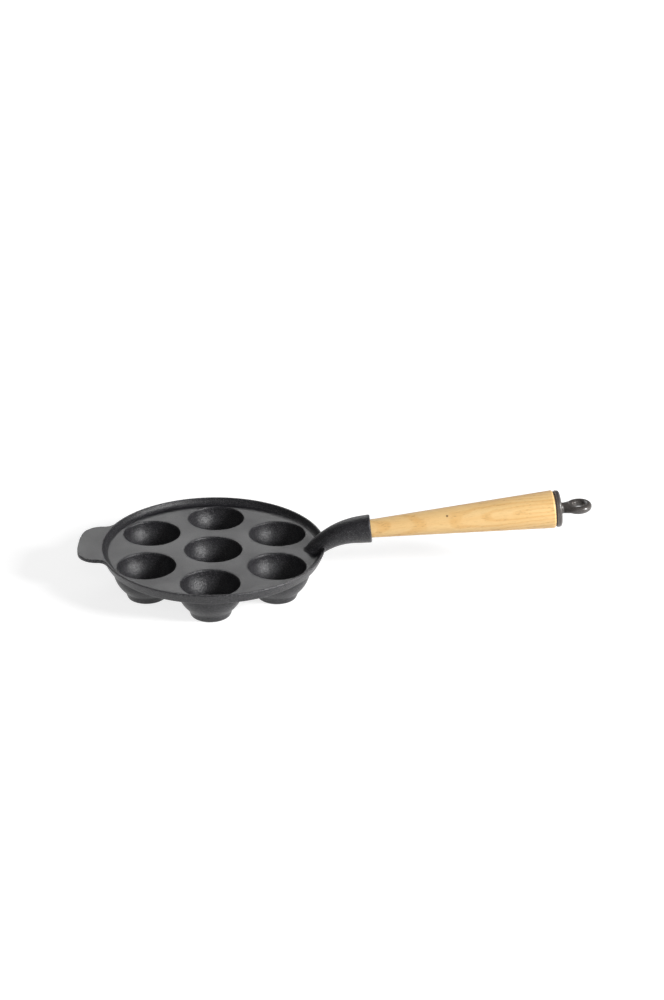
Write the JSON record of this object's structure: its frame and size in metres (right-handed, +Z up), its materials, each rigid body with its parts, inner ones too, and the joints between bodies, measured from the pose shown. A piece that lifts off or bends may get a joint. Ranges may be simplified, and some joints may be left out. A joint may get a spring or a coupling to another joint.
{
  "type": "aebleskiver pan",
  "caption": "Round cast iron pancake ball pan with hemispherical cups on feet, a helper tab, a curved arm and a turned wood handle with a screw-on hanging eye.",
  "frame": {"origin": "middle of the plane that the feet stand on, under the middle cup", "axes": "+X towards the handle, +Z up, Y across"},
  "size_m": [0.4762, 0.2092, 0.0907],
  "materials": {
    "iron": "black seasoned, satin",
    "beech": "oiled",
    "steel": "plain steel",
    "washer": "matt black",
    "eye_iron": "dark, half gloss"
  },
  "bodies": {
    "pan": {"pan_casting": "iron", "tie_rod": "steel", "wood_handle": "beech"},
    "washer": {"seat_washer": "washer"},
    "eye": {"hanging_eye": "eye_iron"}
  },
  "joints": [
    {"name": "eye_travel", "type": "slide", "parent": "pan", "child": "washer", "axis": [0.9925, 0, 0.1219], "range_m": [0, 0.00825]},
    {"name": "eye_turn", "type": "hinge", "parent": "washer", "child": "eye", "pos_m": [0.33861, 0, 0.07609], "axis": [0.9925, 0, 0.1219], "range_deg": [0, 2970]}
  ],
  "couplings": [
    {"joint": "eye_turn", "follows": "eye_travel", "rad_per_m": 6283.2}
  ]
}
